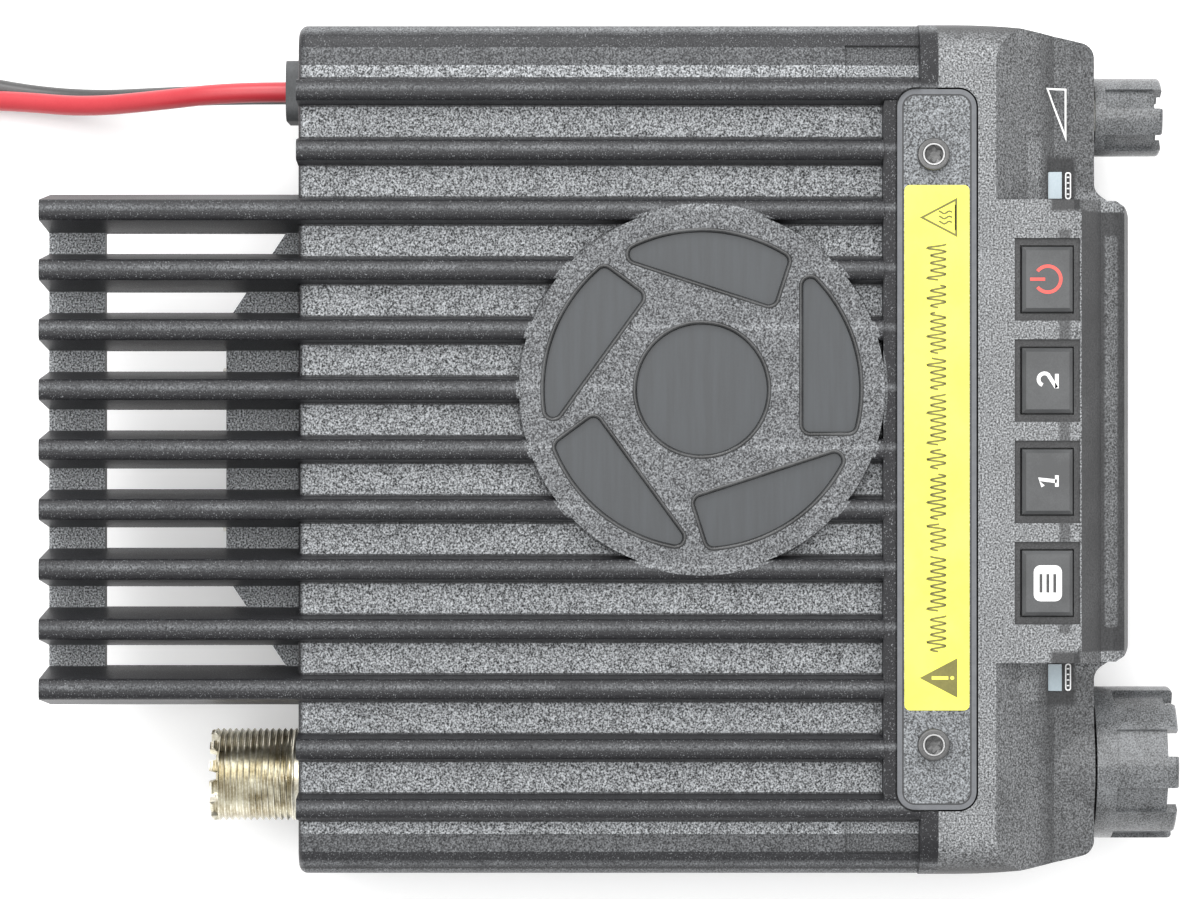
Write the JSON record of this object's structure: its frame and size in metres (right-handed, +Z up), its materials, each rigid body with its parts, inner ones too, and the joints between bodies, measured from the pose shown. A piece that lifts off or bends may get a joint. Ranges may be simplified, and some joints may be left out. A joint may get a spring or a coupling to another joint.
{
  "type": "mobile transceiver",
  "caption": "Vehicle radio transceiver: finned cast heat-sink case with round relief, front panel with knobs and keys, rear fan and antenna socket.",
  "frame": {"origin": "under the middle of the object without its supply wires, on the surface it rests on", "axes": "+X to the user's right, -Y to the front panel, +Z up"},
  "size_m": [0.1452, 0.238, 0.0479],
  "materials": {
    "board_green": "solder mask",
    "brass_parts": "plated brass",
    "can_tin": "tin plate",
    "capacitor_sleeve": "printed sleeve",
    "cast_black": "coarse sparkling black powder coat",
    "cone_paper": "pressed paper",
    "control_steel": "plated steel",
    "cover_black": "textured black paint",
    "dark_plastic": "moulded",
    "display_grey": "liquid crystal panel",
    "inductor_ferrite": "ferrite with enamel wire",
    "inlay_grey": "smooth satin film",
    "insulator_white": "fluoropolymer",
    "key_plastic": "satin",
    "knob_plastic": "soft satin",
    "label_yellow": "printed film",
    "lamp_lens": "frosted lens",
    "magnet_grey": "ferrite",
    "module_body": "ceramic and plastic",
    "panel_plastic": "spark-eroded texture",
    "plate_black": "fine textured black paint",
    "plug_plastic": "moulded nylon",
    "ribbon_white": "flat flexible cable",
    "screw_black": "black oxide",
    "screw_steel": "zinc plated",
    "socket_nickel": "tarnished nickel",
    "soft_rubber": "moulded rubber",
    "window_clear": "clear acrylic",
    "wire_black": "vinyl insulation",
    "wire_red": "vinyl insulation"
  },
  "bodies": {
    "case": {"antenna_socket_contact": "brass_parts", "antenna_socket_insulator": "insulator_white", "antenna_socket_shell": "socket_nickel", "board_chips": "dark_plastic", "bottom_cover": "cover_black", "bottom_cover_screws": "screw_steel", "cable_grommet": "soft_rubber", "capacitors": "capacitor_sleeve", "caution_label": "label_yellow", "channel_encoder": "control_steel", "control_nuts": "control_steel", "display_module": "display_grey", "display_window": "window_clear", "fan_frame": "dark_plastic", "fan_screws": "screw_steel", "front_board": "board_green", "front_key_mat": "soft_rubber", "front_panel": "panel_plastic", "front_panel_screws": "screw_steel", "grille_inlays": "inlay_grey", "heatsink_chassis": "cast_black", "inductors": "inductor_ferrite", "main_board": "board_green", "main_board_screws": "screw_steel", "microphone_jack": "dark_plastic", "microphone_jack_contacts": "brass_parts", "power_module": "module_body", "power_module_screws": "screw_steel", "ribbon_cable": "ribbon_white", "seam_plate": "plate_black", "seam_plate_screws": "screw_black", "shield_cans": "can_tin", "small_board_screws": "screw_steel", "speaker_clamps": "control_steel", "speaker_cone": "cone_paper", "speaker_frame": "control_steel", "speaker_jack": "dark_plastic", "speaker_magnet": "magnet_grey", "status_lamp_lenses": "lamp_lens", "supply_plug": "plug_plastic", "supply_plug_blades": "brass_parts", "supply_wire_black": "wire_black", "supply_wire_red": "wire_red", "top_key_board": "board_green", "top_key_switches": "dark_plastic", "volume_control": "control_steel"},
    "volume": {"volume_shaft": "brass_parts", "volume_knob": "knob_plastic"},
    "channel": {"channel_shaft": "brass_parts", "channel_knob": "knob_plastic"},
    "fan": {"fan_rotor": "dark_plastic"},
    "key_menu": {"top_key_menu": "key_plastic"},
    "key_one": {"top_key_one": "key_plastic"},
    "key_two": {"top_key_two": "key_plastic"},
    "key_power": {"top_key_power": "key_plastic"},
    "front_left": {"front_key_left": "key_plastic"},
    "front_middle": {"front_key_middle": "key_plastic"},
    "front_right": {"front_key_right": "key_plastic"},
    "front_small_left": {"front_key_small_left": "key_plastic"},
    "front_small_right": {"front_key_small_right": "key_plastic"}
  },
  "joints": [
    {"name": "volume_turn", "type": "hinge", "parent": "case", "child": "volume", "pos_m": [0.0569, -0.08145, 0.027], "axis": [0, -1, 0], "range_deg": [-150, 150]},
    {"name": "channel_turn", "type": "hinge", "parent": "case", "child": "channel", "pos_m": [-0.0538, -0.08145, 0.0235], "axis": [0, -1, 0], "continuous": true},
    {"name": "fan_turn", "type": "hinge", "parent": "case", "child": "fan", "pos_m": [0, 0.06075, 0.016], "axis": [0, 1, 0], "continuous": true},
    {"name": "key_menu_press", "type": "slide", "parent": "case", "child": "key_menu", "axis": [0, 0, -1], "range_m": [0, 0.0008], "stiffness_N_per_m": 600},
    {"name": "key_one_press", "type": "slide", "parent": "case", "child": "key_one", "axis": [0, 0, -1], "range_m": [0, 0.0008], "stiffness_N_per_m": 600},
    {"name": "key_two_press", "type": "slide", "parent": "case", "child": "key_two", "axis": [0, 0, -1], "range_m": [0, 0.0008], "stiffness_N_per_m": 600},
    {"name": "key_power_press", "type": "slide", "parent": "case", "child": "key_power", "axis": [0, 0, -1], "range_m": [0, 0.0008], "stiffness_N_per_m": 600},
    {"name": "front_left_press", "type": "slide", "parent": "case", "child": "front_left", "axis": [0, 1, 0], "range_m": [0, 0.0007], "stiffness_N_per_m": 500},
    {"name": "front_middle_press", "type": "slide", "parent": "case", "child": "front_middle", "axis": [0, 1, 0], "range_m": [0, 0.0007], "stiffness_N_per_m": 500},
    {"name": "front_right_press", "type": "slide", "parent": "case", "child": "front_right", "axis": [0, 1, 0], "range_m": [0, 0.0007], "stiffness_N_per_m": 500},
    {"name": "front_small_left_press", "type": "slide", "parent": "case", "child": "front_small_left", "axis": [0, 1, 0], "range_m": [0, 0.0007], "stiffness_N_per_m": 500},
    {"name": "front_small_right_press", "type": "slide", "parent": "case", "child": "front_small_right", "axis": [0, 1, 0], "range_m": [0, 0.0007], "stiffness_N_per_m": 500}
  ]
}
